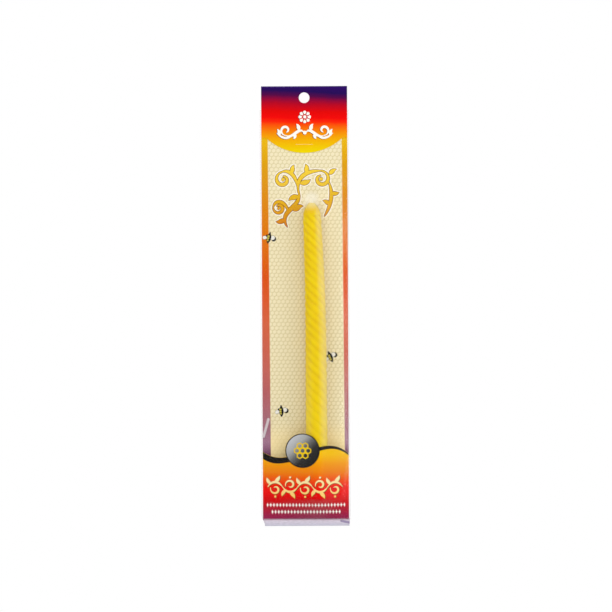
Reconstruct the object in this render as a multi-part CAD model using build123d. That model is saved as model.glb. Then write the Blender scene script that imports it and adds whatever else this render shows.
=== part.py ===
from build123d import *
from math import asin, atan2, ceil, cos, pi, radians, sin, sqrt, tan
import os

# A havdalah candle in its hanging retail pack: six beeswax strands twisted together with their
# wicks, a folded insert card with a pocket, a folded header card, its staple and a clear bag.
# Millimetres. The origin is the centre of the hang hole, the pack hangs down along -Z and its
# printed front faces -Y.

# Candle, measured along its own axis from the base
strand_count = 6
wax_length = 221.0  # base to the top of the dipped tip
tip_height = 8.0  # smooth dipped tip above the strands
tip_slope = 0.14  # how steeply the tip draws in from its rim
base_radius = 8.25  # over the crests of the strands at the base
top_radius = 6.4  # over the crests just under the tip
taper_power = 3  # the candle stays thick and narrows near its top
groove_depth = 0.9
lead_base = 45.0  # length of one turn at the base
lead_top = 36.0  # the twist is tighter at the top
core_radius = 1.2  # hollow that the strands leave along the axis
strand_gap = 0.12  # slit between neighbouring strands
stations_per_turn = 12

# Square braided wicks, one in each strand, gathered into one stub
wick_width = 1.0
wick_clearance = 0.12
wick_depth = 3.2  # crest of a strand to the middle of its wick
wick_spacing = 1.45  # axis to the middle of each wick in the stub
wick_stub = 5.5  # free length above the tip
tip_lip = 0.4  # wax round the stub on top of the tip
tip_stations = 5

# Boards, film and how they lie on each other
card_width = 64.5  # header and insert
card_thickness = 0.4
film_thickness = 0.15
card_slip = 0.05  # between a card and the film beside it
candle_clearance = 0.3  # all round the candle

# Header card
hole_diameter = 8.0
hole_to_fold = 8.7  # hole centre up to the folded top edge
hole_to_shoulder = 30.0  # hole centre down to the square shoulders
tongue_drop = 11.4  # how far the round tongue hangs below the shoulders
shoulder_width = 3.5
tongue_blend = 4.0  # hollow radius between shoulder and tongue

# Staple
staple_crown = 12.7  # over the legs
staple_wire = 0.5
staple_clinch = 4.0  # length of each leg turned in at the back
staple_above_tongue = 6.4  # staple to the lowest point of the tongue
pierce_clearance = 0.05

# Insert card and its pocket
insert_tuck = 10.0  # hidden behind the header above its shoulders
headroom = 32.5  # tongue down to the end of the wicks
candle_offset = 8.9  # base of the candle from the middle of the pack
candle_lean = 0.95  # degrees, its top leans to the left
crease_rise = 15.8  # bottom crease up to where the pocket is full depth
pocket_side_gap = 0.1  # pocket edge to the back panel
pocket_left = 51.2  # height of the pocket above the crease at its left edge
pocket_dip = 46.9  # lowest point of its wavy edge
pocket_dip_at = 13.6  # from the left edge
pocket_crest = 55.8  # highest point of the wave
pocket_crest_at = 16.0  # from the right edge
pocket_right = 49.4
badge_radius = 12.9  # round tab that stands up from the wavy edge
badge_offset = -2.4
badge_height = 52.1  # its centre above the crease

# Clear bag
bag_margin = 1.15  # film beyond the cards on each side
bag_mouth = 9.0  # hole centre down to the open top edge, inside the header
bag_flat = 2.5  # flat film below the tongue
bag_ramp = 26.0  # length over which the film rises to clear the candle
seal_height = 4.6  # welded band below the insert card

# Heights, from the hang hole downwards
shoulder_z = -hole_to_shoulder
tongue_z = shoulder_z - tongue_drop
staple_z = tongue_z + staple_above_tongue
insert_top_z = shoulder_z + insert_tuck
wick_end_z = tongue_z - headroom
base_z = wick_end_z - (wick_stub + wax_length) * cos(radians(candle_lean))
full_depth_z = base_z - candle_clearance
crease_z = full_depth_z - crease_rise
seal_z = crease_z - seal_height

# Depths, from the middle of the insert card
insert_face = card_thickness / 2
bag_inner = insert_face + card_slip
bag_outer = bag_inner + film_thickness
header_outer = bag_outer + card_thickness
candle_y = -(insert_face + candle_clearance + base_radius)
pocket_inner_radius = base_radius + candle_clearance
pocket_outer_radius = pocket_inner_radius + card_thickness
bag_inner_radius = pocket_outer_radius + card_slip
bag_outer_radius = bag_inner_radius + film_thickness
bag_pocket_face = insert_face + card_thickness + pocket_side_gap + card_slip

staple_bend = staple_wire / 2 + pierce_clearance
strand_length = wax_length - tip_height
half_sector = pi / strand_count


def crest_radius(height):
    """Radius over the crests of the strands at a height above the base."""
    return base_radius - (base_radius - top_radius) * (height / strand_length) ** taper_power


def turn(height):
    """Left-hand twist in degrees between the base and a height."""
    tightening = (1 / lead_top - 1 / lead_base) / (2 * strand_length)
    return -360 * (height / lead_base + tightening * height**2)


def strand_heights():
    """Evenly spaced heights of the strand sections."""
    count = ceil(abs(turn(strand_length)) / 360 * stations_per_turn)
    return [strand_length * step / count for step in range(count + 1)]


def on_strand(wire, height, angle, index):
    """A section drawn about the X axis, set at its height and turned to its strand."""
    return wire.moved(Location((0, 0, height), (0, 0, angle + index * 360 / strand_count)))


def strand_section(height, index):
    """A blunt wedge with a round back, one of the sectors of the candle."""
    slit = strand_gap / 2 / sin(half_sector)
    back = crest_radius(height) - groove_depth

    def flank(distance, side):
        return Vector(slit + distance * cos(half_sector), side * distance * sin(half_sector))

    inner_low, outer_low = flank(core_radius, -1), flank(back, -1)
    inner_high, outer_high = flank(core_radius, 1), flank(back, 1)
    crest = Vector(crest_radius(height), 0)
    edges = [
        Edge.make_line(inner_low, outer_low),
        Edge.make_three_point_arc(outer_low, crest, outer_high),
        Edge.make_line(outer_high, inner_high),
        Edge.make_line(inner_high, inner_low),
    ]
    return on_strand(Wire(edges), height, turn(height), index)


def wick_section(height, index, width):
    """A square section that follows its strand and is gathered to the axis inside the tip."""
    within = min(height, strand_length)
    gathered = min(max(height - strand_length, 0) / tip_height, 1)
    ease = gathered**2 * (3 - 2 * gathered)
    seat = crest_radius(within) - wick_depth
    middle = seat + (wick_spacing - seat) * ease
    corners = [(-1, -1), (1, -1), (1, 1), (-1, 1)]
    square = [Vector(middle + x * width / 2, y * width / 2) for x, y in corners]
    return on_strand(Wire.make_polygon(square, close=True), height, turn(within), index)


def wick_solid(index, width):
    tip_step = tip_height / tip_stations
    tip_heights = [strand_length + tip_step * (step + 1) for step in range(tip_stations)]
    heights = strand_heights() + tip_heights + [wax_length + wick_stub]
    return Solid.make_loft([wick_section(height, index, width) for height in heights])


def place_candle(piece):
    """From the candle's own axis to its place, leaning in the pack."""
    return Pos(candle_offset, candle_y, base_z) * Rot(0, -candle_lean, 0) * piece


def make_strand(index):
    sections = [strand_section(height, index) for height in strand_heights()]
    bore = wick_solid(index, wick_width + 2 * wick_clearance)
    return Solid.make_loft(sections) - bore


def make_tip():
    """Smooth ogive of dipped wax that closes the strands and holds the wicks together."""
    rim = top_radius - groove_depth / 2
    stub_corner = sqrt((wick_spacing + wick_width / 2) ** 2 + (wick_width / 2) ** 2)
    lip = stub_corner + wick_clearance + tip_lip
    outline = [
        Line((0, 0), (rim, 0)),
        TangentArc((rim, 0), (lip, tip_height), tangent=(-tip_slope, 1)),
        Line((lip, tip_height), (0, tip_height)),
        Line((0, tip_height), (0, 0)),
    ]
    dome = revolve(Plane.XZ * make_face(outline), Axis.Z)
    tip = Pos(0, 0, strand_length) * dome
    for index in range(strand_count):
        tip -= wick_solid(index, wick_width + 2 * wick_clearance)
    return tip


def candle_x(z):
    """Middle of the leaning candle at a height in the pack."""
    return candle_offset - tan(radians(candle_lean)) * (z - base_z)


def crown(z, half_width, edge_y, radius):
    """Edges of a sheet stretched from both side edges over the candle, from left to right."""
    centre = Vector(candle_x(z), candle_y)

    def tangent_point(side):
        edge = Vector(side * half_width, edge_y)
        reach = centre - edge
        run = sqrt(reach.length**2 - radius**2)
        heading = atan2(reach.Y, reach.X) + side * asin(radius / reach.length)
        return Vector(edge.X + run * cos(heading), edge.Y + run * sin(heading), z)

    left, right = tangent_point(-1), tangent_point(1)
    top = Vector(centre.X, centre.Y - radius, z)
    return [
        Edge.make_line((-half_width, edge_y, z), left),
        Edge.make_three_point_arc(left, top, right),
        Edge.make_line(right, (half_width, edge_y, z)),
    ]


def flat(z, half_width, edge_y, radius):
    """The same sheet where it lies flat, divided at the width of the candle."""
    middle = candle_x(z)
    stops = [-half_width, middle - radius / 2, middle + radius / 2, half_width]
    points = [Vector(x, edge_y, z) for x in stops]
    return [Edge.make_line(start, end) for start, end in zip(points, points[1:])]


def close(front, back):
    """One closed outline from two rows of edges that both run from left to right."""
    left = Edge.make_line(back[0].position_at(0), front[0].position_at(0))
    right = Edge.make_line(front[-1].position_at(1), back[-1].position_at(1))
    return Wire(front + [right] + back + [left])


def staple_holes():
    """Legs of the staple as cutters, with room for the wire."""
    reach = 4 * header_outer
    leg_x = (staple_crown - staple_wire) / 2
    leg = Cylinder(staple_wire / 2 + pierce_clearance, reach, rotation=(90, 0, 0))
    return Pos(-leg_x, 0, staple_z) * leg + Pos(leg_x, 0, staple_z) * leg


def make_pocket():
    """Front panel of the insert card, bent over the candle, with a wavy edge and a round tab."""
    half = card_width / 2
    side_y = -(insert_face + pocket_side_gap)
    reach = crease_z + badge_height + badge_radius + card_thickness

    def section(z, shape, edge_y):
        inner = shape(z, half, edge_y, pocket_inner_radius)
        outer = shape(z, half, edge_y - card_thickness, pocket_outer_radius)
        return close(outer, inner)

    sections = [
        section(crease_z + card_thickness, flat, -insert_face),
        section(full_depth_z, crown, side_y),
        section(reach, crown, side_y),
    ]
    sheet = Solid.make_loft(sections, ruled=True)
    wave = Spline(
        (-half, crease_z + pocket_left),
        (-half + pocket_dip_at, crease_z + pocket_dip),
        (half - pocket_crest_at, crease_z + pocket_crest),
        (half, crease_z + pocket_right),
    )
    below = crease_z - card_thickness
    frame = Polyline(
        (half, crease_z + pocket_right),
        (half, below),
        (-half, below),
        (-half, crease_z + pocket_left),
    )
    outline = make_face([wave, frame])
    outline += Pos(badge_offset, crease_z + badge_height) * Circle(badge_radius)
    return sheet & extrude(Plane.XZ * outline, 2 * bag_outer_radius + header_outer)


def make_insert():
    """One printed card: back panel, flat-folded crease and pocket."""
    panel_foot = crease_z + card_thickness
    panel_height = insert_top_z - panel_foot
    panel = Pos(0, 0, panel_foot + panel_height / 2) * Box(card_width, card_thickness, panel_height)
    roll = Cylinder(card_thickness, card_width, rotation=(0, 90, 0))
    lower = Pos(0, 0, -card_thickness) * Box(card_width, 2 * card_thickness, 2 * card_thickness)
    crease = Pos(0, -insert_face, panel_foot) * (roll & lower)
    return panel + crease + make_pocket() - staple_holes()


def make_header():
    """Card folded over the top of the bag, both leaves cut to the same round tongue."""
    fold_z = hole_to_fold - header_outer
    length = fold_z - tongue_z

    def leaf_profile(half_depth):
        body = Pos(0, fold_z - length / 2) * Rectangle(2 * half_depth, length)
        return body + Pos(0, fold_z) * Circle(half_depth)

    folded = leaf_profile(header_outer) - leaf_profile(bag_outer)
    blank = extrude(Plane.YZ * folded, card_width / 2, both=True)
    half = card_width / 2
    inner = half - shoulder_width
    tongue = ThreePointArc((inner, shoulder_z), (0, tongue_z), (-inner, shoulder_z))
    frame = Polyline(
        (-inner, shoulder_z),
        (-half, shoulder_z),
        (-half, hole_to_fold),
        (half, hole_to_fold),
        (half, shoulder_z),
        (inner, shoulder_z),
    )
    outline = make_face([tongue, frame])
    corners = outline.vertices().filter_by(lambda v: abs(abs(v.X) - inner) < tongue_blend / 100)
    outline = fillet(corners, tongue_blend)
    header = blank & extrude(Plane.XZ * outline, 2 * header_outer, both=True)
    header -= Cylinder(hole_diameter / 2, 4 * header_outer, rotation=(90, 0, 0))
    return header - staple_holes()


def make_staple():
    """Crown on the front, legs through every layer, ends turned in at the back."""
    leg_x = (staple_crown - staple_wire) / 2
    depth = header_outer + staple_wire / 2
    end_x = leg_x - staple_clinch
    route = [
        (-end_x, depth),
        (-leg_x, depth),
        (-leg_x, -depth),
        (leg_x, -depth),
        (leg_x, depth),
        (end_x, depth),
    ]
    path = Pos(0, 0, staple_z) * FilletPolyline(*route, radius=staple_bend)
    wire = Plane(origin=path @ 0, z_dir=path % 0) * Circle(staple_wire / 2)
    return sweep(wire, path)


def make_bag():
    """Front and back webs of a flat bag, welded along both sides and the bottom."""
    half = card_width / 2 + bag_margin
    ramp_z = tongue_z - bag_flat
    raised_z = ramp_z - bag_ramp
    cavity_foot = crease_z - card_slip

    def outline(z, shape, half_width, front, back, radius):
        front_edges = shape(z, half_width, -front, radius)
        back_edges = flat(z, half_width, back, radius)
        return close(front_edges, back_edges)

    def bag_section(z, shape, front, inside):
        grow = 0 if inside else film_thickness
        radius = bag_inner_radius + grow
        return outline(z, shape, half - film_thickness + grow, front + grow, bag_inner + grow, radius)

    def bag_loft(mouth_z, foot_z, inside):
        sections = [
            bag_section(mouth_z, flat, bag_inner, inside),
            bag_section(ramp_z, flat, bag_inner, inside),
            bag_section(raised_z, crown, bag_pocket_face, inside),
            bag_section(full_depth_z, crown, bag_pocket_face, inside),
            bag_section(foot_z, flat, bag_pocket_face, inside),
        ]
        if not inside:
            sections.append(outline(seal_z, flat, half, film_thickness, film_thickness, bag_outer_radius))
        return Solid.make_loft(sections, ruled=True)

    skin = bag_loft(-bag_mouth, cavity_foot - film_thickness, False)
    cavity = bag_loft(-bag_mouth + film_thickness, cavity_foot, True)
    bag = skin - cavity - staple_holes()
    return split(bag, Plane.XZ, keep=Keep.TOP), split(bag, Plane.XZ, keep=Keep.BOTTOM)


bag_front, bag_back = make_bag()
pieces = {
    "insert_card": make_insert(),
    "header_card": make_header(),
    "header_staple": make_staple(),
    "bag_front_web": bag_front,
    "bag_back_web": bag_back,
    "dipped_tip": place_candle(make_tip()),
}
for number in range(strand_count):
    pieces[f"wax_strand_{number + 1}"] = place_candle(make_strand(number))
    pieces[f"wick_{number + 1}"] = place_candle(wick_solid(number, wick_width))

os.makedirs("parts", exist_ok=True)
for name, piece in pieces.items():
    export_step(piece, f"parts/{name}.step")
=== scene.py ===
import random
from math import asin, atan2, cos, exp, hypot, pi, radians, sin, sqrt, tan, tau

import bpy
from mathutils import Matrix, Vector, geometry, noise


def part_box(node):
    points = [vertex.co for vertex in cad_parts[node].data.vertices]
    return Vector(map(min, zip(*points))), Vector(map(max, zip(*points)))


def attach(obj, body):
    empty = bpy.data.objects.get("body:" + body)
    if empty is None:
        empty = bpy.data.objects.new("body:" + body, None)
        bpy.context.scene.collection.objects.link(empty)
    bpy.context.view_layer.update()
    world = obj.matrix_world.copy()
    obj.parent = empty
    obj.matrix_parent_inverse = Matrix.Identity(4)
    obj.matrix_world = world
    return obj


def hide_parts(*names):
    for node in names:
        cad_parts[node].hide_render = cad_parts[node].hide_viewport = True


# A twisted beeswax candle in its hanging pack. Shapes are worked out in millimetres in the
# frame of the solids, and every mesh is written in metres.

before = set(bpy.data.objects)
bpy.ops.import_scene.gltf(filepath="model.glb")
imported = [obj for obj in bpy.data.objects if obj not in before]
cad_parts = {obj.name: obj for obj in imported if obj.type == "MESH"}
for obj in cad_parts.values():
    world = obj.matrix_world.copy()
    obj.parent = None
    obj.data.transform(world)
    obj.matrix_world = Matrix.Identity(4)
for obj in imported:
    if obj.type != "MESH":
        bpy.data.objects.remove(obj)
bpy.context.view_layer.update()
MM = 0.001
random.seed(6)

# Sizes shared with the solids
strand_count = 6
wax_length = 221.0
tip_height = 8.0
tip_slope = 0.14
tip_rim = 5.95
tip_lip = 2.53
base_radius = 8.25
top_radius = 6.4
taper_power = 3
lead_base = 45.0
lead_top = 36.0
core_radius = 1.2
wick_width = 1.0
wick_depth = 3.2
wick_spacing = 1.45
wick_stub = 5.5
candle_offset = 8.9
candle_lean = radians(0.95)
card_thickness = 0.4
candle_clearance = 0.3
crease_rise = 15.8
bag_flat = 2.5
bag_ramp = 26.0
badge_radius = 12.9
badge_offset = -2.4
badge_height = 52.1
pocket_wave = [(0.0, 51.2), (13.6, 46.9), (48.5, 55.8), (64.5, 49.4)]

# Hand-made shape of the candle
full_seam = 0.42
low_seam = 0.24
seam_wander = 0.055
skin_drop = 0.1
top_swell = 0.5
candle_bow = 1.2
base_round = 0.8
top_round = 0.7
tip_skirt = 2.0
tip_overlap = 0.4
wick_trim = (0.1, 1.1)
wick_splay = (-0.12, 0.22)

# Gaps between the sheets
pocket_gap = 0.1
film_gap = 0.2
seal_gap = 0.04
side_gap = 0.03

# Fineness of the meshes
section_steps = 14
strand_rows = 520
dome_rows = 48
wick_rows = 560
wick_sides = 12
web_rows = 260
web_columns = 97


def node_box(node):
    """Corners of a solid in millimetres."""
    low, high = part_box(node)
    return low / MM, high / MM


# Places taken from the frame
header_low, header_high = node_box("header_card")
insert_low, insert_high = node_box("insert_card")
bag_low, bag_high = node_box("bag_front_web")
half_card = insert_high.x
half_bag = bag_high.x
card_face = -card_thickness / 2
header_face = header_low.y
tongue_z = header_low.z
fold_z = header_high.z
crease_z = insert_low.z
seal_z = bag_low.z
mouth_z = bag_high.z
raised_z = tongue_z - bag_flat - bag_ramp
full_depth_z = crease_z + crease_rise
badge_z = crease_z + badge_height
base_z = full_depth_z + candle_clearance
candle_y = card_face - candle_clearance - base_radius
strand_length = wax_length - tip_height
skirt_start = strand_length - tip_skirt
wick_z = base_z + wax_length + wick_stub / 2
upright_place = Matrix.Translation((candle_offset, candle_y, base_z))
candle_place = upright_place @ Matrix.Rotation(-candle_lean, 4, "Y")

# Sheets stretched over the candle
pocket_radius = base_radius + candle_clearance + card_thickness
pocket_edge = card_face - card_thickness - pocket_gap
film_radius = -bag_low.y + candle_y
film_edge = pocket_edge - film_gap
film_flat = card_face - film_gap


def candle_x(z):
    """Where the candle's axis is at a height."""
    return candle_offset - tan(candle_lean) * (z - base_z)


# Arithmetic

def lerp(a, b, share):
    return a + (b - a) * share


def clamp(share):
    return min(max(share, 0), 1)


def ease(low, high, value):
    """A smooth step from 0 to 1."""
    share = clamp((value - low) / (high - low))
    return share * share * (3 - 2 * share)


def shares(steps):
    """Even steps from 0 to 1."""
    return [step / steps for step in range(steps + 1)]


def uneven(*place):
    """Smooth noise about 0 at a place."""
    return noise.noise(Vector(place))


def polar(radius, angle):
    return radius * Vector((cos(angle), sin(angle)))


def where_reached(target, value_at, high):
    """Where from 0 to high a rising value reaches its target, by halving."""
    low = 0.0
    for _ in range(40):
        middle = (low + high) / 2
        if value_at(middle) < target:
            low = middle
        else:
            high = middle
    return low


# Meshes

def link_object(name, data):
    piece = bpy.data.objects.new(name, data)
    bpy.context.scene.collection.objects.link(piece)
    return piece


def link_mesh(name, points, faces, material):
    """A mesh from points in millimetres, smooth apart from its caps."""
    mesh = bpy.data.meshes.new(name)
    mesh.from_pydata([Vector(p) * MM for p in points], [], faces)
    mesh.validate()
    mesh.update()
    for polygon in mesh.polygons:
        polygon.use_smooth = len(polygon.vertices) <= 4
    mesh.materials.append(material)
    return link_object(name, mesh)


def make_piece(name, points, faces, material, body):
    """A mesh that rides on a body."""
    piece = link_mesh(name, points, faces, material)
    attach(piece, body)
    return piece


def grid_faces(rows, columns, closed=False):
    """Quads between rows of points, joined round where the rows are closed."""
    faces = []
    last = columns if closed else columns - 1
    for row in range(rows - 1):
        for column in range(last):
            after = (column + 1) % columns
            start, end = row * columns, (row + 1) * columns
            faces.append((start + column, start + after, end + after, end + column))
    return faces


def tube_faces(rows, columns):
    """A closed tube of quads with a cap at each end."""
    caps = [tuple(reversed(range(columns))), tuple(range((rows - 1) * columns, rows * columns))]
    return grid_faces(rows, columns, closed=True) + caps


def write_attributes(piece, **attributes):
    """Values at each point of a piece, for its material."""
    for name, values in attributes.items():
        attribute = piece.data.attributes.new(name, "FLOAT", "POINT")
        attribute.data.foreach_set("value", values)


# Materials

def srgb(red, green, blue):
    """Linear colour of an sRGB value from 0 to 255."""
    def linear(channel):
        share = channel / 255
        return share / 12.92 if share <= 0.04045 else ((share + 0.055) / 1.055) ** 2.4
    return (linear(red), linear(green), linear(blue), 1)


# Colours, all in sRGB from 0 to 255
SCARLET = (236, 3, 2)
CREAM = (238, 228, 194)
STRAW = (206, 192, 134)
BOARD = (226, 222, 210)
WHITE = (252, 248, 240)
BLACK = (18, 15, 13)


class Shader:
    """The node tree of a material or a world, with short calls to add and join nodes."""

    def __init__(self, name, store=bpy.data.materials):
        self.owner = store.new(name)
        self.owner.use_nodes = True
        self.nodes = self.owner.node_tree.nodes
        self.nodes.clear()

    def add(self, kind, *values, **settings):
        """A node with its settings, and its inputs set or joined in order; None leaves one alone."""
        node = self.nodes.new("ShaderNode" + kind)
        for key, value in settings.items():
            setattr(node, key, value)
        for socket, value in zip(node.inputs, values):
            self.feed(socket, value)
        return node

    def feed(self, socket, value):
        if isinstance(value, bpy.types.NodeSocket):
            self.owner.node_tree.links.new(value, socket)
        elif value is not None:
            socket.default_value = value

    def math(self, operation, a, b=None, clamp=False):
        return self.add("Math", a, b, operation=operation, use_clamp=clamp).outputs[0]

    def times(self, a, b):
        return self.math("MULTIPLY", a, b)

    def varied(self, value, by, amount):
        """A value with another one added in some amount."""
        return self.math("ADD", value, self.times(by, amount))

    def vector(self, operation, a, b=None):
        node = self.add("VectorMath", a, b, operation=operation)
        return node.outputs["Value" if operation in ("DOT_PRODUCT", "LENGTH") else "Vector"]

    def place(self):
        """The point on the piece, in millimetres."""
        return self.vector("MULTIPLY", self.add("TexCoord").outputs["Object"], (1 / MM,) * 3)

    def normal_y(self):
        return self.axes(self.add("TexCoord").outputs["Normal"])[1]

    def axes(self, vector):
        return self.add("SeparateXYZ", vector).outputs

    def attribute(self, name):
        return self.add("Attribute", attribute_name=name).outputs["Fac"]

    def span(self, value, low, high, smooth=False):
        """0 to 1 as a value goes from low to high."""
        kind = "SMOOTHSTEP" if smooth else "LINEAR"
        return self.add("MapRange", value, low, high, 0.0, 1.0, interpolation_type=kind).outputs[0]

    def mix(self, share, a, b, kind="RGBA"):
        """From a to b, which are colours or vectors."""
        first, result = {"RGBA": (6, 2), "VECTOR": (4, 1)}[kind]
        node = self.add("Mix", share, data_type=kind)
        for socket, value in zip(node.inputs[first:], (a, b)):
            self.feed(socket, srgb(*value) if isinstance(value, tuple) else value)
        return node.outputs[result]

    def gradient(self, value, stops):
        """Colours along a value, each at its own place."""
        first, last = stops[0][0], stops[-1][0]
        ramp = self.add("ValToRGB", self.span(value, first, last))
        elements = ramp.color_ramp.elements
        for index, (place, colour) in enumerate(stops):
            share = (place - first) / (last - first)
            element = elements[index] if index in (0, 1) else elements.new(share)
            element.position = share
            element.color = srgb(*colour)
        return ramp.outputs[0]

    def grain(self, place, size, detail=3.0, finer=None):
        """Noise from 0 to 1 with grains of a size in millimetres, finer along some axes."""
        if finer:
            place = self.vector("MULTIPLY", place, finer)
        return self.add("TexNoise", place, None, 1 / size, detail).outputs["Fac"]

    def near_line(self, place, start, end):
        """Distance on the front from the line between two places (x, z)."""
        heading = Vector((end[0] - start[0], 0, end[1] - start[1]))
        offset = self.vector("SUBTRACT", place, (start[0], 0, start[1]))
        offset = self.vector("MULTIPLY", offset, (1, 0, 1))
        along = self.vector("DOT_PRODUCT", offset, heading)
        along = self.math("DIVIDE", along, heading.length_squared, True)
        foot = self.add("CombineXYZ", along, along, along).outputs[0]
        foot = self.vector("MULTIPLY", foot, heading)
        return self.vector("LENGTH", self.vector("SUBTRACT", offset, foot))

    def bump(self, height, distance):
        node = self.add("Bump", 1.0, distance * MM)
        self.feed(node.inputs["Height"], height)
        return node.outputs[0]

    def principled(self, **values):
        """The finished surface; names use _ for a space."""
        surface = self.add("BsdfPrincipled")
        for key, value in values.items():
            self.feed(surface.inputs[key.replace("_", " ")], value)
        return self.output(surface.outputs[0])

    def output(self, surface, kind="Material"):
        self.feed(self.add("Output" + kind).inputs["Surface"], surface)
        return self.owner


def beeswax(name):
    """Translucent yellow wax with painted shade in its seams, painted light on its crests, a painted
    highlight down its right flank, and pale bloom in random patches.
    """
    tree = Shader(name)
    place = tree.place()
    cloud = tree.grain(place, 9.0)
    fleck = tree.grain(place, 0.9, 4.0)
    # Painted shade and light: deeper gold in the seams and paler gold on the crests, mixed with random
    # pale bloom
    crest_light_and_bloom = tree.span(tree.varied(tree.attribute("crest"), cloud, 2.0), 0.6, 2.2, True)
    colour = tree.mix(crest_light_and_bloom, (232, 193, 0), (240, 208, 2))
    # Painted highlight: pale along the right flank, and on the tip where its coat is drawn up round the
    # wicks
    colour = tree.mix(tree.attribute("frost"), colour, (246, 234, 178))
    colour = tree.mix(tree.span(fleck, 0.62, 0.8), colour, (243, 214, 20))
    return tree.principled(
        Base_Color=colour,
        Roughness=tree.varied(0.42, cloud, 0.22),
        Subsurface_Weight=0.35, Subsurface_Radius=(1.0, 0.8, 0.25), Subsurface_Scale=0.0025,
        Specular_IOR_Level=0.1,
        Sheen_Weight=0.15, Sheen_Roughness=0.35, Sheen_Tint=(1.0, 0.93, 0.6, 1.0),
        Normal=tree.bump(tree.varied(tree.grain(place, 1.6), fleck, 0.3), 0.1),
    )


def cotton():
    """Waxed cotton braid."""
    tree = Shader("waxed_cotton")
    fibre = tree.grain(tree.place(), 0.35, 4.0, (3.0, 3.0, 0.8))
    return tree.principled(
        Base_Color=tree.mix(fibre, (240, 230, 196), (252, 246, 226)),
        Roughness=0.75,
        Subsurface_Weight=0.2, Subsurface_Radius=(1.0, 0.9, 0.6), Subsurface_Scale=0.0008,
        Normal=tree.bump(fibre, 0.08),
    )


def honeycomb(tree, place, pitch):
    """Distance from the walls of a honeycomb, in cells, and the way across each cell."""
    across, row = pitch, pitch * sqrt(3)
    far = 200
    x, _, z = tree.axes(place)
    flat = tree.add("CombineXYZ", x, z, 0.0).outputs[0]

    def cell(shift_x, shift_z):
        moved = tree.vector("ADD", flat, (far * across + shift_x, far * row + shift_z, 0))
        wrapped = tree.vector("MODULO", moved, (across, row, 1))
        return tree.vector("SUBTRACT", wrapped, (across / 2, row / 2, 0))

    one, other = cell(0, 0), cell(across / 2, row / 2)
    nearer = tree.math("LESS_THAN", tree.vector("LENGTH", other), tree.vector("LENGTH", one))
    local = tree.mix(nearer, one, other, "VECTOR")
    reach = 0.0
    for side in [(1, 0, 0), (0.5, sqrt(0.75), 0), (-0.5, sqrt(0.75), 0)]:
        off_middle = tree.math("ABSOLUTE", tree.vector("DOT_PRODUCT", local, side))
        reach = tree.math("MAXIMUM", reach, off_middle)
    wall = tree.varied(0.5, reach, -1 / pitch)
    slope = tree.times(tree.vector("DOT_PRODUCT", local, (0.6, -0.8, 0)), 1 / pitch)
    return wall, slope


def board_fibre(tree, place):
    return tree.grain(place, 0.5, 5.0, (1.0, 1.0, 0.35))


def printed_insert():
    """Insert card: honeycomb field in a border that goes from gold to mauve, a pocket printed from
    amber to plum, and a bare back."""
    tree = Shader("printed_insert")
    place = tree.place()
    x, y, z = tree.axes(place)
    border_width, border_blur, cell_pitch = 4.5, 0.2, 3.27
    wall, slope = honeycomb(tree, place, cell_pitch)
    line = tree.times(tree.span(wall, 0.13, 0.02, True), 0.75)
    line = tree.varied(line, tree.span(slope, 0.1, 0.5, True), 0.3)
    field = tree.mix(line, CREAM, STRAW)
    blotch = tree.grain(place, 14.0)
    field = tree.mix(tree.times(blotch, 0.25), field, (232, 214, 170))
    from_wick = tree.vector("SUBTRACT", place, (candle_x(wick_z), card_face, wick_z))
    glow = tree.span(tree.vector("LENGTH", from_wick), 8.0, 2.0, True)
    field = tree.mix(tree.times(glow, 0.8), field, (250, 245, 226))
    # Painted light: the field is lightened and warmed just above the pocket, over the shade there
    painted_light_above_pocket = tree.span(z, -238.0, -262.0, True)
    field = tree.mix(tree.times(painted_light_above_pocket, 0.7), field, (255, 232, 168))
    border = tree.gradient(z, [
        (-320, (128, 76, 118)), (-268, (112, 62, 98)), (-258, (164, 120, 144)),
        (-240, (168, 108, 120)), (-222, (178, 96, 100)), (-204, (194, 100, 90)),
        (-190, (202, 97, 78)), (-170, (211, 99, 66)), (-150, (216, 86, 38)),
        (-134, (217, 82, 9)), (-114, (219, 106, 3)), (-78, (218, 134, 2)),
        (-50, (216, 156, 2)), (-30, (230, 182, 10)),
    ])
    drift = tree.varied(0.12, z, -0.0055)
    off_middle = tree.math("ABSOLUTE", tree.math("SUBTRACT", x, drift))
    half_field = half_card - border_width
    inside = tree.span(off_middle, half_field + border_blur, half_field - border_blur)
    panel = tree.mix(inside, border, field)
    pocket = tree.gradient(z, [
        (-317, (146, 36, 82)), (-313.5, (154, 34, 74)), (-307.5, (182, 26, 46)),
        (-301.5, (212, 4, 8)), (-296, SCARLET), (-291, (238, 26, 3)),
        (-286, (240, 82, 4)), (-280, (238, 132, 4)), (-273.5, (242, 158, 0)),
        (-267, (244, 192, 0)),
    ])
    on_pocket = tree.math("LESS_THAN", y, card_face - card_thickness / 4)
    front = tree.mix(on_pocket, panel, pocket)
    faces_front = tree.math("LESS_THAN", tree.normal_y(), -0.3)
    fibre = board_fibre(tree, place)
    board = tree.mix(tree.span(fibre, 0.35, 0.65), BOARD, (212, 206, 190))
    emboss = tree.varied(tree.span(wall, 0.0, 0.12, True), fibre, 0.4)
    return tree.principled(
        Base_Color=tree.mix(faces_front, board, front),
        Roughness=tree.varied(0.42, fibre, 0.16),
        Specular_IOR_Level=0.05,
        Normal=tree.bump(emboss, 0.02),
    )


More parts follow.
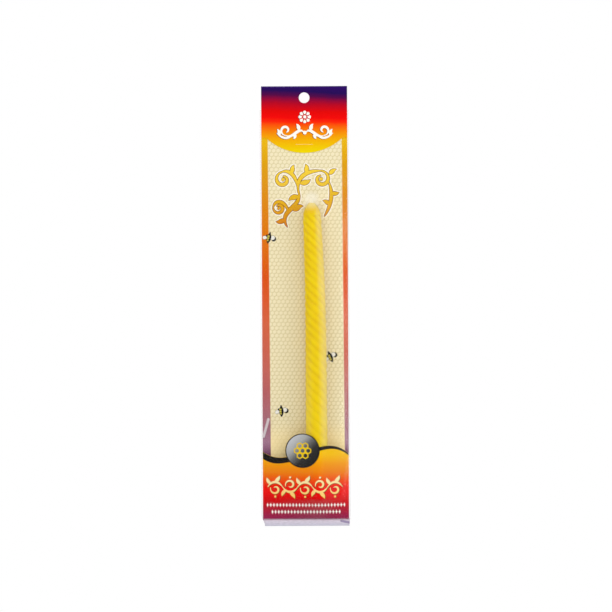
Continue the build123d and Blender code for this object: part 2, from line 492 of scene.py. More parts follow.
def printed_header():
    """Header card: indigo at the fold, through red to gold at the tongue, with a painted lilac highlight
    along the fold and a bare inside.
    """
    tree = Shader("printed_header")
    place = tree.place()
    x, y, z = tree.axes(place)
    sway = tree.varied(-2.0, tree.grain(place, 26.0, finer=(1.0, 0.0, 0.6)), 4.0)
    slant = tree.times(x, 0.05)
    height = tree.math("ADD", z, tree.varied(sway, slant, tree.span(z, -24.0, 2.0)))
    colour = tree.gradient(height, [
        (-41, (234, 210, 0)), (-30, (238, 164, 2)), (-24, (240, 118, 2)),
        (-18, (244, 36, 3)), (-15, SCARLET), (-10.2, (220, 1, 1)),
        (-4.6, (176, 1, 32)), (1, (80, 2, 66)), (4.4, (34, 4, 80)),
        (9, (40, 4, 92)),
    ])
    fibre = board_fibre(tree, place)
    # Painted highlight: lilac flecks where the fold catches the light, mostly towards the left
    fold_highlight = tree.times(tree.span(z, fold_z - 0.9, fold_z), tree.span(fibre, 0.42, 0.6))
    fold_highlight = tree.times(fold_highlight, tree.span(x, half_card, -half_card / 4))
    colour = tree.mix(tree.times(fold_highlight, 0.6), colour, (176, 158, 222))
    outward = tree.math("GREATER_THAN", tree.times(tree.normal_y(), y), 0.3)
    printed = tree.math("MAXIMUM", outward, tree.span(z, fold_z - 1.2, fold_z - 0.8))
    return tree.principled(
        Base_Color=tree.mix(printed, BOARD, colour),
        Roughness=tree.varied(0.3, fibre, 0.14),
        Specular_IOR_Level=0.05,
        Normal=tree.bump(fibre, 0.015),
    )


def staple_metal():
    """Brass-washed wire with fine draw marks."""
    tree = Shader("staple_brass")
    streak = tree.grain(tree.place(), 0.3, 3.0, (0.15, 1.0, 6.0))
    return tree.principled(
        Base_Color=tree.mix(streak, (214, 176, 74), (240, 210, 118)),
        Metallic=1.0,
        Roughness=tree.varied(0.25, streak, 0.2),
        Normal=tree.bump(streak, 0.01),
    )


def ink(name, stops):
    """Printing ink whose colour goes along the height."""
    tree = Shader(name)
    place = tree.place()
    colour = tree.gradient(tree.axes(place)[2], stops)
    mottle = tree.grain(place, 0.6, 4.0)
    darker = tree.vector("MULTIPLY", colour, (0.9, 0.9, 0.9))
    return tree.principled(
        Base_Color=tree.mix(tree.span(mottle, 0.45, 0.75), colour, darker),
        Roughness=tree.varied(0.34, mottle, 0.12),
        Specular_IOR_Level=0.06,
        Normal=tree.bump(mottle, 0.01),
    )


def plain_ink(name, colour):
    """Printing ink of one colour."""
    return ink(name, [(-330, colour), (10, colour)])


def badge_ink():
    """Badge print, silver at its upper left and black at its lower right."""
    tree = Shader("ink_badge")
    place = tree.place()
    from_middle = tree.vector("SUBTRACT", place, (badge_offset, 0, badge_z))
    colour = tree.gradient(tree.vector("DOT_PRODUCT", from_middle, (1, 0, -1)), [
        (-17, (200, 202, 206)), (-8, (172, 173, 172)), (-1, (104, 104, 104)),
        (6, (38, 36, 35)), (16, (14, 12, 12)),
    ])
    mottle = tree.grain(place, 0.6, 4.0)
    return tree.principled(
        Base_Color=tree.mix(tree.times(mottle, 0.12), colour, BLACK),
        Roughness=tree.varied(0.3, mottle, 0.12),
        Specular_IOR_Level=0.15,
        Normal=tree.bump(mottle, 0.01),
    )


# Candle

def crest_radius(height):
    share = clamp(height / strand_length)
    return base_radius - (base_radius - top_radius - top_swell) * share**taper_power


def turn(height):
    tightening = (1 / lead_top - 1 / lead_base) / (2 * strand_length)
    return -tau * (height / lead_base + tightening * height**2)


def seam_angle(index, height):
    """Angle of the groove after a strand, which wanders a little as hand-twisted strands do."""
    wander = uneven(height / 17, 7.3 * (index % strand_count), 0)
    return turn(height) + (index + 0.5) * tau / strand_count + seam_wander * wander


def groove(share):
    """Depth below the crest across a strand, 0 in the middle and 1 at its soft seams."""
    return 0.8 * (1 - cos(pi * share)) / 2 + 0.2 * share**2


def seam_depth(height):
    """Depth of the seams, shallower low down where the wax has flowed over them."""
    share = ease(0.2, 0.65, height / strand_length)
    return lerp(low_seam, full_seam, share) * (1 + 0.3 * uneven(height / 13, 5.7, 0))


def crest_tone(share, height, fade=1.0):
    """Painted shade of the seams: 1 on the crests, and less in a seam the deeper it is."""
    return 1 - fade * groove(abs(share)) * min(seam_depth(height) / full_seam, 1)


def wax_radius(share, height, index, fade=1.0):
    """Radius of the twisted wax, uneven from one place to the next."""
    broad = uneven(height / 11, 3.1 * index, share) * 0.1
    fine = uneven(height / 3.2, 9.7 * index + 4, share * 2) * 0.03
    sunk = fade * seam_depth(height) * groove(abs(share))
    return crest_radius(height) - sunk + broad + fine - skin_drop


def flank_frost(angle, height):
    """Painted highlight down the flank that faces right, and a faint one low on the other side, in
    patches.
    """
    patch = uneven(height / 23, cos(angle), sin(angle))
    low_down = 1 - ease(0.3, 0.7, height / strand_length)
    far_side = 0.1 * low_down * ease(0.2, 0.9, -cos(angle))
    return (0.3 + 0.12 * patch) * ease(0.1, 0.9, cos(angle)) + far_side


def bowed(point):
    """A point of the straight candle set in its place, with the bow of a candle twisted by hand."""
    share = clamp(point.z / wax_length)
    bow = candle_bow * sin(pi * share**1.6) ** 1.5 if share < 1 else 0
    return candle_place @ (point + Vector((bow, 0, 0)))


def on_candle(radius, angle, height):
    return bowed(Vector((radius * cos(angle), radius * sin(angle), height)))


def make_strand(index):
    """One wax strand: a wedge of the candle with a round back, between two seams."""
    points, crest, frost = [], [], []
    seam_share, core_inset = 0.999, 0.02
    top = strand_length - tip_overlap
    for row in range(strand_rows + 1):
        height = top * row / strand_rows
        low, high = seam_angle(index - 1, height), seam_angle(index, height)
        rounding = base_round * (1 - sqrt(1 - (1 - min(height / base_round, 1)) ** 2))
        rounding += top_round * ease(skirt_start, top, height)
        for step in range(section_steps + 1):
            share = 2 * step / section_steps - 1
            angle = lerp(low, high, (share * seam_share + 1) / 2)
            points.append(on_candle(wax_radius(share, height, index) - rounding, angle, height))
            crest.append(crest_tone(share, height))
            frost.append(flank_frost(angle, height))
        for angle in (high - core_inset, low + core_inset):
            points.append(on_candle(core_radius, angle, height))
            crest.append(0)
            frost.append(0)
    faces = tube_faces(strand_rows + 1, section_steps + 3)
    piece = make_piece(f"candle_strand_{index + 1}", points, faces, candle_wax, "candle")
    write_attributes(piece, crest=crest, frost=frost)
    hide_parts(f"wax_strand_{index + 1}")


def tip_radius(height):
    """Arc of the tip's outline, by the height above its rim."""
    rim = tip_rim + top_swell
    inward = Vector((-1, -tip_slope)).normalized()
    reach = Vector((tip_lip - rim, tip_height))
    bend = reach.length_squared / (2 * reach.dot(inward))
    centre = Vector((rim, 0)) + bend * inward
    return centre.x + sqrt(bend**2 - (height - centre.y) ** 2)


def coat(share, index, height):
    """Radius and tone of the dipped coat, which keeps the grooves at its rim and loses them above, where
    its tone drops to a painted shade that darkens the dome.
    """
    within = min(height, strand_length)
    fade = 1 - ease(-0.35, 0.55, (height - strand_length) / tip_height)
    lift = lerp(-0.4, 0.08, ease(skirt_start, strand_length, height))
    closing = ease(skirt_start, strand_length + 1.0, height)
    outline = lerp(crest_radius(height), tip_radius(max(height - strand_length, 0)), closing)
    under = crest_radius(within) - wax_radius(share, within, index, fade)
    smooth = ease(skirt_start + 0.5, skirt_start + 5.0, height)
    # Up the smooth dome the tone goes to -0.2, a painted shade
    return outline + lift - under, lerp(crest_tone(share, within, fade), -0.2, smooth)


def make_tip():
    """Dipped coat over the ends of the strands, which closes to a point and climbs the wicks a little."""
    points, crest, frost = [], [], []
    columns = strand_count * section_steps
    rings = [(lerp(skirt_start, wax_length, share), None) for share in shares(dome_rows)]
    rings += [(wax_length + rise, inset) for rise, inset in [(0.25, 0.25), (0.5, 0.6), (0.55, 2.2)]]
    for height, inset in rings:
        drawn = ease(strand_length, wax_length + 1.0, height)
        for column in range(columns):
            index, step = divmod(column, section_steps)
            share = 2 * step / section_steps - 1
            angle = lerp(seam_angle(index - 1, height), seam_angle(index, height), (share + 1) / 2)
            radius, tone = coat(share, index, height) if inset is None else (tip_lip - inset, 0.0)
            points.append(on_candle(radius, angle, height))
            crest.append(tone)
            # The larger of the painted flank highlight and the paleness where the coat is drawn up round
            # the wicks
            frost.append(max(flank_frost(angle, height), 0.75 * drawn**1.5))
    piece = make_piece("candle_tip", points, tube_faces(len(rings), columns), tip_wax, "candle")
    write_attributes(piece, crest=crest, frost=frost)
    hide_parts("dipped_tip")


def make_wick(index):
    """Square braided wick that follows its strand and is gathered into the stub."""
    points = []
    trim = random.uniform(*wick_trim)
    splay = random.uniform(*wick_splay)
    end = wax_length + wick_stub - trim
    plait_pitch = 1.5
    for row in range(wick_rows + 1):
        height = end * row / wick_rows
        within = min(height, strand_length)
        gathered = ease(0, 1, (height - strand_length) / tip_height)
        free = max(height - wax_length, 0)
        seat = lerp(crest_radius(within) - wick_depth, wick_spacing - 0.15, gathered)
        seat += (splay - 0.25) * ease(0, wick_stub, free)
        angle = turn(within) + index * tau / strand_count
        cut = (1 + 0.42 * ease(0, 1.2, free)) * (1 - 0.35 * ease(end - 0.9, end, height))
        for side in range(wick_sides):
            around = tau * side / wick_sides
            square = 1 / max(abs(cos(around)), abs(sin(around))) ** 0.7
            plait = 1 + 0.09 * sin(tau * height / plait_pitch + 2 * around)
            radius = wick_width / 2 * square * plait * cut * 0.9
            offset = Vector((seat + radius * cos(around), radius * sin(around), height))
            points.append(bowed(Matrix.Rotation(angle, 4, "Z") @ offset))
    faces = tube_faces(wick_rows + 1, wick_sides)
    piece = make_piece(f"candle_wick_{index + 1}", points, faces, wick_cotton, "candle")
    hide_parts(f"wick_{index + 1}")


candle_wax = beeswax("beeswax")
tip_wax = beeswax("dipped_wax")
wick_cotton = cotton()
for strand in range(strand_count):
    make_strand(strand)
    make_wick(strand)
make_tip()


# Sheets over the candle

def crown_point(z, half_width, edge_y, radius, share):
    """A point of a sheet stretched over the candle, by its share of the way across."""
    centre = Vector((candle_x(z), candle_y))

    def touch(side):
        edge = Vector((side * half_width, edge_y))
        reach = centre - edge
        run = sqrt(reach.length_squared - radius**2)
        heading = atan2(reach.y, reach.x) + side * asin(radius / reach.length)
        return edge, edge + polar(run, heading)

    part = share * 3
    left_edge, left = touch(-1)
    right_edge, right = touch(1)
    if part <= 1:
        return left_edge.lerp(left, part)
    if part >= 2:
        return right.lerp(right_edge, part - 2)
    start = atan2(left.y - centre.y, left.x - centre.x)
    end = atan2(right.y - centre.y, right.x - centre.x)
    return centre + polar(radius, lerp(start, end, part - 1))


def flat_point(z, half_width, edge_y, radius, share):
    """A point of a flat stretch of a sheet, spread over the same three parts."""
    middle = candle_x(z)
    stops = [-half_width, middle - radius / 2, middle + radius / 2, half_width]
    part = min(int(share * 3), 2)
    return Vector((lerp(stops[part], stops[part + 1], share * 3 - part), edge_y))


def sheet_point(stations, half_width, radius, z, share):
    """A point of a sheet through stations (height, shape, depth of its side edges), top first."""
    for above, below in zip(stations, stations[1:]):
        if z >= below[0]:
            break
    down = (above[0] - z) / (above[0] - below[0])
    ends = [shape(level, half_width, edge_y, radius, share) for level, shape, edge_y in (above, below)]
    return ends[0].lerp(ends[1], clamp(down))


pocket_stations = [
    (badge_z + badge_radius + card_thickness, crown_point, pocket_edge),
    (full_depth_z, crown_point, pocket_edge),
    (crease_z + card_thickness, flat_point, card_face - card_thickness),
]


def pocket_depth(x, z):
    """Depth of the pocket at a place on its front."""
    def across(share):
        return sheet_point(pocket_stations, half_card, pocket_radius, z, share)

    return across(where_reached(x, lambda share: across(share).x, 1.0)).y


def wave_height(x):
    """Height of the pocket's wavy edge, a cubic through its four points by their chords."""
    knots = [0.0]
    for (x0, z0), (x1, z1) in zip(pocket_wave, pocket_wave[1:]):
        knots.append(knots[-1] + hypot(x1 - x0, z1 - z0))

    def at(knot):
        place = Vector((0, 0))
        for i, point in enumerate(pocket_wave):
            weight = 1.0
            for j, other in enumerate(knots):
                if j != i:
                    weight *= (knot - other) / (knots[i] - other)
            place += weight * Vector(point)
        return place

    return crease_z + at(where_reached(x, lambda knot: at(knot).x - half_card, knots[-1])).y


# Cards

for node, material in [
    ("insert_card", printed_insert()),
    ("header_card", printed_header()),
    ("header_staple", staple_metal()),
]:
    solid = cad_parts[node]
    solid.data.materials.clear()
    solid.data.materials.append(material)


# Prints: flat ribbons laid on a card, each a line of points with its half widths

def panel_depth(x, z):
    return card_face


def header_depth(x, z):
    return header_face


def tapered(points, width, start, end):
    """A ribbon that swells along its line, from and to a share of its half width."""
    swells = [max(sin(pi * share) ** 0.6, lerp(start, end, share)) for share in shares(len(points) - 1)]
    return points, [width * swell for swell in swells]


def stroke(start, lead, follow, end, width, first=0.4, last=0.3):
    """A ribbon along a cubic curve in the plane of a card."""
    points = []
    for t in shares(24):
        weights = ((1 - t) ** 3, 3 * t * (1 - t) ** 2, 3 * t * t * (1 - t), t**3)
        guides = zip(weights, (start, lead, follow, end))
        points.append(sum((weight * Vector(guide) for weight, guide in guides), Vector((0, 0))))
    return tapered(points, width, first, last)


def curl(centre, radius, inner, start, sweep, width):
    """A ribbon that winds in towards its centre; angles in degrees."""
    points = []
    for share in shares(36):
        reach = lerp(radius, inner, share**0.85)
        points.append(Vector(centre) + polar(reach, radians(start + sweep * share)))
    return tapered(points, width, 0.4, 0.3)


def leaf(root, angle, length, width, bend=0.18):
    """A pointed leaf; the angle is in degrees from the X axis."""
    heading = polar(1.0, radians(angle))
    side = Vector((-heading.y, heading.x))
    points, widths = [], []
    for share in shares(14):
        sway = side * bend * length * sin(pi * share) * share
        points.append(Vector(root) + heading * length * share + sway)
        widths.append(width / 2 * sin(pi * share**0.8) ** 0.9 + 0.02)
    return points, widths


def dot(centre, radius, steps=12):
    """A round dot as a short ribbon."""
    points, widths = [], []
    for share in shares(steps):
        points.append(Vector(centre) + Vector((-radius * cos(pi * share), 0)))
        widths.append(radius * sin(pi * share) + 0.005)
    return points, widths


def grown(ribbon, margin):
    """The same ribbon with a margin all round."""
    points, widths = ribbon
    if margin == 0:
        return ribbon
    first = (points[0] - points[1]).normalized() * margin
    last = (points[-1] - points[-2]).normalized() * margin
    points = [points[0] + first] + list(points) + [points[-1] + last]
    widths = [margin * 0.3] + [w + margin for w in widths] + [margin * 0.3]
    return points, widths


def lay_ink(name, points, faces, material):
    piece = make_piece(name, points, faces, material, "pack")


def lay_print(
    name, ribbons, material, lift, depth_at=panel_depth, margin=0, shift=(0, 0), slot="insert_board"
):
    """One layer of ink: the joined outline of its ribbons, laid on a card a little proud of it."""
    least_area, weld_reach = 1e-6, 1e-5
    corners, cells = [], []
    for ribbon in ribbons:
        line, widths = grown(ribbon, margin)
        start = len(corners)
        for i, middle in enumerate(line):
            before, after = line[max(i - 1, 0)], line[min(i + 1, len(line) - 1)]
            heading = (after - before).normalized()
            side = Vector((-heading.y, heading.x))
            for share in (-1.0, 0.0, 1.0):
                corners.append(middle + side * widths[i] * share + Vector(shift))
        for quad in grid_faces(len(line), 3):
            a, b, c, d = [start + corner for corner in quad]
            cells += [(a, b, c), (a, c, d)]
    wound = []
    for a, b, c in cells:
        if geometry.area_tri(corners[a], corners[b], corners[c]) > least_area:
            left = (corners[b] - corners[a]).cross(corners[c] - corners[a]) > 0
            wound.append((a, b, c) if left else (a, c, b))
    flat, _, triangles, _, _, sources = geometry.delaunay_2d_cdt(corners, [], wound, 0, weld_reach)
    faces = [triangle for triangle, source in zip(triangles, sources) if source]
    points = [(place.x, depth_at(place.x, place.y) - lift, place.y) for place in flat]
    lay_ink(name, points, faces, material)


def lay_wave_band(lift):
    """Dark band under the pocket's wavy edge, broad on the left and fine on the right."""
    inset, steps, across = 0.12, 120, 4
    points = []
    for step in shares(steps):
        x = lerp(-half_card + inset, half_card - inset, step)
        share = (x + half_card) / (2 * half_card)
        if share < 0.4:
            thickness = lerp(5.2, 4.1, min(share / 0.25, 1))
        else:
            thickness = lerp(4.1, 1.3, (share - 0.4) / 0.6)
        top = wave_height(x) - inset
        for up in shares(across):
            z = lerp(top - thickness, top, up)
            points.append((x, pocket_depth(x, z) - lift, z))
    lay_ink("print_wave_band", points, grid_faces(steps + 1, across + 1), dark_ink)


def lay_disc(name, inner, outer, material, lift):
    """A disc or ring round the middle of the badge that follows the pocket."""
    rings, columns = 24, 96
    points = []
    for ring in shares(rings):
        radius = lerp(inner, outer, ring)
        for column in range(columns):
            x, z = Vector((badge_offset, badge_z)) + polar(radius, tau * column / columns)
            points.append((x, pocket_depth(x, z) - lift, z))
    lay_ink(name, points, grid_faces(rings + 1, columns, closed=True), material)


def moved(ribbons, x, z, turn_by=0.0, scale=1.0):
    """Ribbons turned, scaled and set at a place on the card."""
    along, up = polar(scale, radians(turn_by))
    result = []
    for points, widths in ribbons:
        placed = [Vector((x + along * p.x - up * p.y, z + up * p.x + along * p.y)) for p in points]
        result.append((placed, [w * scale for w in widths]))
    return result


def header_scroll():
    """White ornament of the header: a rosette over two scrolls."""
    half = [
        stroke((0.6, -0.4), (4.5, 5.0), (8.5, -5.5), (14.2, -2.6), 1.1),
        curl((14.4, 1.4), 4.0, 1.5, -90, 340, 0.95),
        stroke((9.0, -1.8), (12.5, -6.0), (17.5, -4.6), (21.0, -0.6), 0.85),
        leaf((4.0, 1.2), 64, 5.6, 2.7),
        leaf((7.0, -1.2), -68, 4.2, 2.3, -0.18),
        leaf((18.6, -2.6), 66, 5.4, 2.4),
    ]
    petal_reach = [1.9, 2.4, 3.0, 3.7, 4.3, 4.7]
    petal_width = [0.2, 0.55, 0.95, 1.25, 1.0, 0.3]
    rosette = []
    for petal in range(8):
        out = polar(1.0, radians(45 * petal))
        rosette.append(([out * reach for reach in petal_reach], petal_width))
    mirrored = [([Vector((-p.x, p.y)) for p in points], widths) for points, widths in half]
    scrolls = moved(half + mirrored + [dot((0, -0.4), 1.4)], 0.4, -25.8)
    return scrolls + moved(rosette + [dot((0, 0), 1.2)], 0.4, -14.4)


def gold_vine():
    """Gold ornament of the insert: a climbing vine with curls and leaves."""
    return [
        stroke((-13, -97), (-21, -84), (-1, -83), (-4.5, -70), 1.5, 0.08),
        stroke((-4.5, -71), (-7, -58), (3, -54.6), (12.6, -54.8), 1.4),
        curl((12.8, -60.9), 6.1, 2.6, 91, -350, 1.3),
        stroke((-5, -67.5), (-6.5, -57.5), (-12, -53.5), (-17, -55.6), 1.25),
        curl((-16.2, -61.3), 5.7, 2.4, 98, 350, 1.25),
        stroke((-11.6, -86.8), (-14, -76.5), (-22.5, -75.5), (-23.6, -82.4), 1.2),
        curl((-19.4, -82.8), 4.2, 2, 176, 320, 1.1),
        stroke((18.2, -63.5), (21.5, -71), (20.5, -80), (14.8, -89), 1.25, 0.4, 0.06),
        leaf((-8.6, -84.6), 24, 8.2, 3.8),
        leaf((-4.6, -73.5), 206, 8, 3.6, -0.15),
        leaf((-3.4, -64.5), 22, 8.4, 3.6, -0.15),
        leaf((1.5, -56.4), 96, 6.6, 3.2, -0.15),
        leaf((-9.5, -56.6), 74, 6.4, 3, 0.12),
        leaf((18.4, -57.4), 34, 6.6, 3, 0.12),
        leaf((19.9, -72), 8, 6, 2.8, -0.12),
        leaf((19, -80), 152, 6, 2.8, -0.12),
        leaf((-14.6, -91.6), 190, 7, 3.2, 0.15),
        dot((12.6, -61), 1.25),
        dot((-16.1, -61.2), 1.2),
        dot((-19.5, -82.9), 0.95),
    ]


def pocket_vine():
    """Gold frieze of the pocket: a running vine whose curls turn up and down in turn."""
    ribbons = []
    waves, pitch = 5, 11.2
    left = -waves * pitch / 2
    for wave in range(waves):
        x = left + wave * pitch
        up = 1 if wave % 2 == 0 else -1
        rise = 4.9 * up
        ribbons += [
            stroke((x, 0), (x + 3.4, rise), (x + 7.6, rise), (x + pitch, 0), 0.9),
            curl((x + pitch / 2, -1.8 * up), 3.7, 1.6, 160 * up, 330 * up, 0.8),
            leaf((x + pitch / 2, 3.4 * up), 58 * up, 6.2, 2.7, -0.15 * up),
            leaf((x + 2.0, 1.9 * up), 116 * up, 5.8, 2.5, 0.15 * up),
            dot((x + pitch / 2, -7.2 * up), 0.8),
        ]
    return moved(ribbons, -0.6, -291.6)


def lozenge_row(z, count):
    """A rule of small lozenges with dots between them."""
    spacing, half_length, half_width = 2.4, 0.7, 1.75
    ribbons = []
    for index in range(count):
        x = (index - (count - 1) / 2) * spacing
        line = [Vector((x + end * half_length, z)) for end in (-1, 0, 1)]
        ribbons.append((line, [0.05, half_width, 0.05]))
        if index < count - 1:
            ribbons.append(dot((x + spacing / 2, z), 0.3, 8))
    return ribbons


def badge_cells():
    """Outlines of seven honeycomb cells in the middle of the badge, each of six mitred ribbons."""
    cell_radius, line_width = 2.45, 0.42
    mitre = line_width * tan(radians(30))
    sides = []
    for cell in range(7):
        reach = 0 if cell == 0 else cell_radius * sqrt(3)
        middle = polar(reach, radians(60 * cell))
        corners = [middle + polar(cell_radius * 0.86, radians(60 * corner + 30)) for corner in range(7)]
        for a, b in zip(corners, corners[1:]):
            over = (b - a).normalized() * mitre
            sides.append(([a - over, a.lerp(b, 0.5), b + over], [line_width] * 3))
    return moved(sides, badge_offset, badge_z)


def bee(x, z, turn_by):
    """A small bee with spread wings and its stripes to one side, as four layers: the wings' dark rims
    and tips, the wings, the body and the stripes."""
    wings = [dot((1.9, 0.5), 1.25), dot((-2.8, -0.5), 1.0), leaf((-0.9, 0.3), 203, 2.6, 1.8, 0.0)]
    rims = wings + [dot((2.65, 0.0), 1.3)]
    back = [Vector((-0.2, 0.66 * (step - 5))) for step in range(11)]
    girth = [0.1, 0.5, 0.85, 1.05, 1.15, 1.15, 1.15, 1.0, 0.6, 0.4, 0.2]
    body = [(back, girth), dot((-1.6, 0.9), 0.55)]
    stripes = []
    for level, start in [(-1.5, -0.95), (-0.3, -1.3), (0.9, -1.25)]:
        line = [Vector((start, level)), Vector((start / 2, level - 0.05)), Vector((-0.1, level))]
        stripes.append((line, [0.45] * 3))
    return [moved(layer, x, z, turn_by, 1.3) for layer in (rims, wings, body, stripes)]


white_ink = plain_ink("ink_white", WHITE)
dark_ink = plain_ink("ink_black", BLACK)
wing_ink = plain_ink("ink_wing", (236, 234, 226))
cell_ink = plain_ink("ink_cells", (236, 200, 26))
stripe_ink = plain_ink("ink_stripe", (204, 192, 84))
shadow_ink = ink("ink_plum_shadow", [(-40, (120, 30, 10)), (0, (70, 0, 30))])
halo_ink = ink("ink_halo", [(-110, (250, 243, 222)), (-40, (252, 246, 228))])
outline_ink = ink("ink_outline", [(-110, (140, 78, 18)), (-40, (122, 84, 26))])
gold_ink = ink("ink_gold", [(-97, (214, 124, 20)), (-76, (224, 176, 26)), (-50, (246, 212, 62))])
cream_gold_ink = ink("ink_cream_gold", [(-300, (252, 206, 96)), (-282, (254, 240, 190))])

# Print on the header, with how far each layer stands proud of the card
scroll = header_scroll()
on_header = {"depth_at": header_depth, "slot": "header_board"}
lay_print("print_header_shadow", scroll, shadow_ink, 0.008, margin=0.12, shift=(-0.3, -0.2), **on_header)
lay_print("print_header_scroll", scroll, white_ink, 0.016, **on_header)

# Print on the panel
first, second, third, fourth = 0.006, 0.012, 0.018, 0.024
vine = gold_vine()
lay_print("print_vine_halo", vine, halo_ink, first, margin=1.15)
lay_print("print_vine_outline", vine, outline_ink, second, margin=0.42)
lay_print("print_vine_gold", vine, gold_ink, third)
bee_places = [(-26.6, -105.0, -14), (19.0, -194.2, 22), (-17.9, -234.8, 3)]
for number, (x, z, angle) in enumerate(bee_places, 1):
    rims, wings, body, stripes = bee(x, z, angle)
    lay_print(f"print_bee_{number}_rim", rims, dark_ink, first, margin=0.2)
    lay_print(f"print_bee_{number}_wings", wings, wing_ink, second)
    lay_print(f"print_bee_{number}_body", body, dark_ink, third, margin=0.15)
    lay_print(f"print_bee_{number}_stripes", stripes, stripe_ink, fourth)

# Print on the pocket
lay_wave_band(0.05)
lay_disc("print_badge", 0.0, badge_radius - 0.65, badge_ink(), 0.09)
lay_disc("print_badge_rim", badge_radius - 0.75, badge_radius - 0.05, dark_ink, 0.105)
lay_print("print_badge_cells", badge_cells(), cell_ink, 0.125, pocket_depth)
frieze = pocket_vine()
lay_print("print_frieze_shadow", frieze, outline_ink, 0.06, pocket_depth, 0.16, (0.3, -0.25))
lay_print("print_frieze_gold", frieze, cream_gold_ink, 0.1, pocket_depth)
rules = lozenge_row(-305.2, 25) + lozenge_row(-310.4, 22)
lay_print("print_rules", rules, white_ink, 0.06, pocket_depth)


# Clear bag

film_stations = [
    (mouth_z, flat_point, film_flat),
    (tongue_z - bag_flat, flat_point, film_flat),
    (raised_z, crown_point, film_edge),
    (full_depth_z, crown_point, film_edge),
    (crease_z - film_gap, flat_point, film_edge),
    (seal_z, flat_point, -seal_gap),
]
film_bulge = 1.2
seal_fold = ((26.5, crease_z - 0.9), (34.0, crease_z - 2.6))
# Line of a painted highlight on a crease of the film, drawn as white haze
crease_highlight_line = ((-31.6, -254.0), (-27.9, -241.0))

# Creases that stand up from the film: start, end, half width and height
film_creases = [
    ((-31.2, -259), (-26.4, -240), 0.9, 0.35),
    ((-30, -262), (-27, -232), 0.6, 0.2),
    ((30.5, -318.5), (20, -303), 1.2, 0.45),
    ((-31, -318.5), (-20, -305), 1.2, 0.4),
    ((26, -300), (31, -270), 1.4, 0.25),
    ((-24, -52), (-8, -66), 1.6, 0.25),
    ((27, -52), (15, -68), 1.6, 0.25),
    ((24, -120), (28, -180), 2.2, 0.22),
    ((22, -200), (27, -150), 1.8, 0.18),
]


def clear_film():
    """Clear film with a faint haze, milky along its welds, with a painted highlight along a crease drawn
    as white haze, brighter seen aslant.
    """
    tree = Shader("clear_film")
    place = tree.place()
    _, y, z = tree.axes(place)
    tint = tree.gradient(z, [
        (seal_z, (184, 184, 200)), (seal_z + 0.8, (206, 202, 220)), (crease_z - 1.2, (220, 210, 226)),
        (crease_z + 0.5, (206, 182, 200)), (crease_z + 20.0, (224, 216, 218)),
    ])
    flap = tree.span(tree.near_line(place, *seal_fold), 1.3, 0.5, True)
    haze = tree.add("BsdfDiffuse", tree.mix(flap, tint, (150, 132, 172))).outputs[0]
    ribs = tree.grain(place, 1.0, 2.0, (0.4, 0.4, 2.4))
    cloud = tree.times(tree.attribute("weld"), tree.span(ribs, -0.5, 0.7))
    # Painted highlight: white haze along the crease, on the front web only
    streak = tree.span(tree.near_line(place, *crease_highlight_line), 1.5, 0.5, True)
    streak = tree.times(streak, tree.math("LESS_THAN", y, 0.0))
    weld_haze_and_highlight = tree.math("MAXIMUM", tree.times(cloud, 0.8), tree.times(streak, 0.72))
    weld_haze_and_highlight = tree.math("ADD", 0.003, weld_haze_and_highlight)
    clear = tree.add("BsdfTransparent").outputs[0]
    body = tree.add("MixShader", weld_haze_and_highlight, clear, haze).outputs[0]
    gloss = tree.add("BsdfGlossy", (1, 1, 1, 1), 0.2, distribution="BECKMANN")
    tree.feed(gloss.inputs["Normal"], tree.bump(tree.grain(place, 12.0, 0.0), 0.3))
    facing = tree.add("LayerWeight", 0.5).outputs["Facing"]
    shine = tree.varied(0.002, tree.math("POWER", facing, 2.0), 0.25)
    return tree.output(tree.add("MixShader", shine, body, gloss.outputs[0]).outputs[0])


def crease_height(x, z):
    """How far the creases and the film's gentle waves stand up at a place."""
    total = 0.14 * (1 + uneven(x / 13, z / 34, 2.0))
    here = Vector((x, z))
    for start, end, width, height in film_creases:
        a, b = Vector(start), Vector(end)
        along = clamp((here - a).dot(b - a) / (b - a).length_squared)
        away = (here - a.lerp(b, along)).length
        total += height * exp(-((away / width) ** 2)) * sin(pi * along) ** 0.5
    return total


def weld_share(x, z):
    """1 on the weld along the bottom, and less on the fine ones along the sides."""
    side = ease(half_bag - 1.15, half_bag - 0.85, abs(x))
    foot = 1 - ease(crease_z - 0.1, crease_z + 1.0, z)
    return max(side * 0.3, foot)


def drawn_in(x, z):
    """How far the lower corners of the bag are drawn in, the left one more than the right."""
    low = ease(crease_z + 4, seal_z, z)
    return low * (2.6 * ease(-24, -half_bag, x) - 0.8 * ease(24, half_bag, x))


def weld_in(x, y, gap):
    """Draws a web in to the other one along the side welds."""
    return lerp(y, gap, ease(half_card + 0.1, half_card + 0.7, abs(x)))


def front_point(share, z):
    """A point of the front web, which stands off the card right of the candle."""
    place = sheet_point(film_stations, half_bag, film_radius, z, share)
    open_film = ease(tongue_z, tongue_z - 12, z) * ease(crease_z - 2, crease_z + 6, z)
    bulging = ease(raised_z + 10, raised_z - 12, z) * ease(badge_z - 16, badge_z + 4, z)
    slack = 1 + 0.8 * uneven(z / 36, 192.3, 0)
    stand_off = film_bulge * slack * sin(pi * max(share * 3 - 2, 0)) * bulging
    y = place.y - (crease_height(place.x, z) + stand_off) * open_film
    return (place.x + drawn_in(place.x, z), weld_in(place.x, y, -side_gap), z)


def back_point(share, z):
    """A point of the back web, which hangs in gentle waves behind the card."""
    x = lerp(-half_bag, half_bag, share)
    hang = ease(tongue_z, tongue_z - 20, z) * ease(crease_z - 2, crease_z + 10, z)
    ripple = 0.35 * hang * (1 + uneven(x / 16, z / 30, 8.0))
    y = lerp(seal_gap, 0.36, ease(seal_z, crease_z, z)) + ripple
    return (x + drawn_in(x, z), weld_in(x, y, side_gap), z)


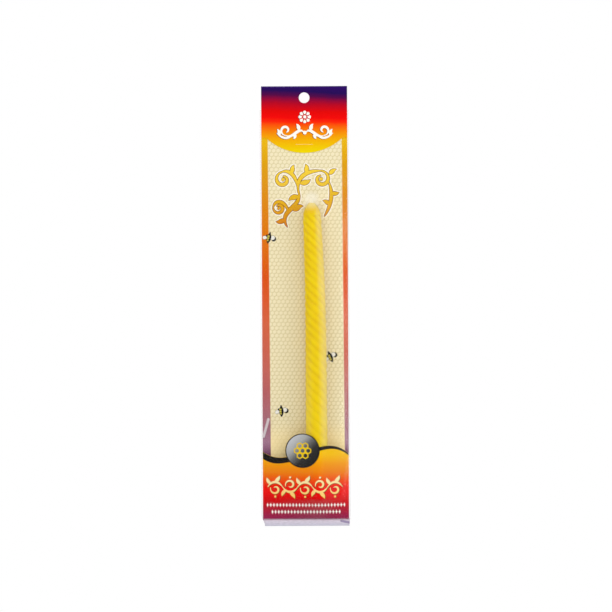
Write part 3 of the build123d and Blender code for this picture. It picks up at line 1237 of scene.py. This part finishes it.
def make_web(name, node, point_at):
    """One web of the bag, stretched between its welds."""
    points, weld = [], []
    for up in shares(web_rows):
        z = lerp(seal_z, mouth_z, up)
        for across in shares(web_columns - 1):
            place = point_at(across, z)
            points.append(place)
            weld.append(weld_share(place[0] - drawn_in(place[0], z), z))
    piece = make_piece(name, points, grid_faces(web_rows + 1, web_columns), film, "pack")
    write_attributes(piece, weld=weld)
    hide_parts(node)


# The webs
film = clear_film()
make_web("film_front", "bag_front_web", front_point)
make_web("film_back", "bag_back_web", back_point)


# Stage, light and camera

middle = Vector((0.7, 0, -156.2)) * MM


def make_stage():
    """Pale round floor well below the hanging pack."""
    floor_z, reach, sides = seal_z - 130, 480, 96
    points = [(0, 0, floor_z)]
    for side in range(sides):
        points.append((*polar(reach, tau * side / sides), floor_z))
    faces = [(0, 1 + side, 1 + (side + 1) % sides) for side in range(sides)]
    tree = Shader("pale_floor")
    tone = tree.mix(tree.grain(tree.place(), 40.0), (238, 238, 238), (244, 244, 244))
    floor = link_mesh("floor", points, faces, tree.principled(Base_Color=tone, Roughness=0.9))


def make_world():
    """White to the eye and in reflections, a soft grey light on the object."""
    tree = Shader("studio", bpy.data.worlds)
    path = tree.add("LightPath").outputs
    seen = path["Is Camera Ray"]
    for ray in ("Is Glossy Ray", "Is Transmission Ray"):
        seen = tree.math("MAXIMUM", seen, path[ray])
    light = tree.add("Background", (1, 1, 1, 1), 0.28).outputs[0]
    shown = tree.add("Background", (1, 1, 1, 1), 1.0).outputs[0]
    surface = tree.add("MixShader", seen, light, shown).outputs[0]
    bpy.context.scene.world = tree.output(surface, "World")


def add_softbox(name, place, size, watts):
    """A soft light in metres that faces the middle of the pack."""
    lamp = bpy.data.lights.new(name, "AREA")
    lamp.shape = "RECTANGLE"
    lamp.size, lamp.size_y = size
    lamp.energy = watts
    light = link_object(name, lamp)
    light.location = middle + Vector(place)
    light.rotation_euler = (-Vector(place)).to_track_quat("-Z", "Y").to_euler()


def add_camera():
    """Straight on, from so far that there is little perspective, and tilted a little."""
    distance, frame_height, roll = 4.0, 0.459, radians(0.27)
    data = bpy.data.cameras.new("camera")
    data.sensor_width = 36.0
    data.lens = data.sensor_width * distance / frame_height
    camera = link_object("camera", data)
    camera.matrix_world = (
        Matrix.Translation(middle - Vector((0, distance, 0)))
        @ Matrix.Rotation(pi / 2, 4, "X")
        @ Matrix.Rotation(-roll, 4, "Z")
    )
    bpy.context.scene.camera = camera


make_stage()
make_world()
for softbox in [
    ("key", (0.53, -1.55, 1.0), (1.3, 1.2), 9.6),
    ("fill", (-1.0, -1.6, 0.9), (1.5, 1.3), 12.6),
    ("low_fill", (-0.1, -1.5, -0.95), (1.2, 0.8), 9.5),
    ("right_panel", (1.3, -1.0, 0.3), (0.6, 0.8), 7.0),
    ("right_strip", (1.2, -0.09, -0.03), (0.2, 0.3), 1.0),
    ("left_strip", (-1.2, -0.06, 0.0), (0.5, 1.2), 2.8),
    ("back_left", (0.9, 1.6, 0.9), (1.5, 1.5), 15.0),
    ("back_right", (-1.0, 1.5, 0.5), (1.5, 1.5), 13.0),
]:
    add_softbox(*softbox)
add_camera()
bpy.context.scene.view_settings.view_transform = "Standard"
